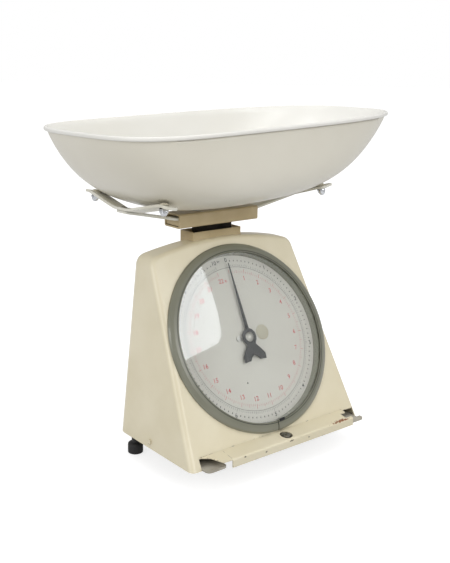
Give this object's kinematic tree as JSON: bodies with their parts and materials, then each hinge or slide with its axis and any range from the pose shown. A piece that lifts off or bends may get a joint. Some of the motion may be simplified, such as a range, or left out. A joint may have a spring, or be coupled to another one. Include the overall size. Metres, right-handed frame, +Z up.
{
  "type": "dial spring scale with scoop pan",
  "caption": "Upright counter spring scale: a sheet-metal case with a leaning round dial, and a long white scoop pan carried on a strap cradle.",
  "frame": {"origin": "on the table, below the middle of the case's width, 60 mm in front of the load stem's axis", "axes": "+X along the pan toward its long shallow end, -Y out of the dial side, +Z up"},
  "size_m": [0.4523, 0.2754, 0.4002],
  "materials": {
    "cream_paint": "worn cream enamel",
    "tan_paint": "faded tan enamel",
    "strap_paint": "cream paint, chipped",
    "bezel_paint": "grey-green paint",
    "grey_steel": "plain sheet steel",
    "bright_steel": "turned steel",
    "spring_steel": "drawn wire",
    "chrome": "polished",
    "brass": "clean brass",
    "black_rubber": "moulded",
    "glass": "clear",
    "dial_white": "matt printed white",
    "pointer_black": "matt black",
    "stamp_beige": "plain disc",
    "guide_nylon": "moulded nylon",
    "pan_enamel": "white enamel"
  },
  "bodies": {
    "housing": {"case_shell": "cream_paint", "base_plate": "grey_steel", "case_screws": "bright_steel", "rubber_foot_back_left": "black_rubber", "rubber_foot_back_right": "black_rubber", "rubber_foot_front_left": "black_rubber", "rubber_foot_front_right": "black_rubber", "foot_studs": "bright_steel", "foot_nuts": "bright_steel", "neck_collar": "tan_paint", "stem_guide": "guide_nylon", "bezel_ring": "bezel_paint", "dial_glass": "glass", "dial_rim": "dial_white", "dial_plate": "dial_white", "dial_carrier": "grey_steel", "carrier_screws": "bright_steel", "dial_screw": "bright_steel", "stamp_plug": "stamp_beige", "movement_front_plate": "brass", "movement_back_plate": "brass", "movement_pillars": "bright_steel", "movement_spacers": "bright_steel", "main_frame": "grey_steel", "main_spring_left": "spring_steel", "main_spring_right": "spring_steel", "link_bracket": "grey_steel", "link_pin_fixed": "bright_steel", "zero_bracket": "grey_steel", "zero_pivot": "grey_steel", "trim_spring": "spring_steel"},
    "platform": {"stem": "grey_steel", "crosshead": "grey_steel", "drive_arm": "grey_steel", "drive_pin": "bright_steel", "link_pin_stem": "bright_steel", "load_head": "tan_paint", "head_screws": "bright_steel", "head_spacers": "bright_steel", "cradle_bar": "strap_paint", "cradle_arm_left": "strap_paint", "cradle_arm_right": "strap_paint", "cradle_rivets": "bright_steel", "buffer_left_front": "black_rubber", "buffer_left_back": "black_rubber", "buffer_right_front": "black_rubber", "buffer_right_back": "black_rubber", "buffer_studs": "bright_steel", "acorn_nuts": "chrome"},
    "pointer_shaft": {"pointer": "pointer_black", "pointer_cap": "chrome", "spindle": "bright_steel", "pinion": "brass"},
    "quadrant_shaft": {"quadrant": "brass", "quadrant_arbor": "bright_steel"},
    "link": {"check_link": "grey_steel"},
    "zero_adjuster": {"zero_screw": "bright_steel"},
    "zero_rocker": {"zero_lever": "grey_steel"},
    "scoop": {"pan": "pan_enamel"}
  },
  "joints": [
    {"name": "platform_press", "type": "slide", "parent": "housing", "child": "platform", "axis": [0, 0, -1], "range_m": [0, 0.0065], "stiffness_N_per_m": 15000, "springref_m": -0.0025, "deforming": ["main_spring_left", "main_spring_right", "trim_spring"]},
    {"name": "pointer_turn", "type": "hinge", "parent": "housing", "child": "pointer_shaft", "pos_m": [0, -0.0165, 0.1435], "axis": [0, -0.8894, 0.4571], "range_deg": [-349, 0]},
    {"name": "quadrant_turn", "type": "hinge", "parent": "housing", "child": "quadrant_shaft", "pos_m": [0.064, -0.0165, 0.1435], "axis": [0, -0.8894, 0.4571], "range_deg": [0, 23.4]},
    {"name": "link_turn", "type": "hinge", "parent": "housing", "child": "link", "pos_m": [0, -0.01, 0.062], "axis": [1, 0, 0], "range_deg": [-5.4, 0]},
    {"name": "zero_screw_turn", "type": "hinge", "parent": "housing", "child": "zero_adjuster", "pos_m": [0.0035, -0.0795, 0.0364], "axis": [0, 0, 1], "range_deg": [-360, 360]},
    {"name": "zero_rocker_turn", "type": "hinge", "parent": "housing", "child": "zero_rocker", "pos_m": [0.0035, 0.024, 0.0322], "axis": [1, 0, 0], "range_deg": [-0.46, 0.46]},
    {"name": "pan_lift", "type": "slide", "parent": "platform", "child": "scoop", "axis": [0, 0, 1], "range_m": [0, 0.12]}
  ],
  "couplings": [
    {"joint": "pointer_turn", "follows": "platform_press", "rad_per_m": -936.57},
    {"joint": "quadrant_turn", "follows": "platform_press", "rad_per_m": 62.438},
    {"joint": "link_turn", "follows": "platform_press", "rad_per_m": -14.275},
    {"joint": "zero_rocker_turn", "follows": "zero_screw_turn", "ratio": 0.0012302}
  ]
}
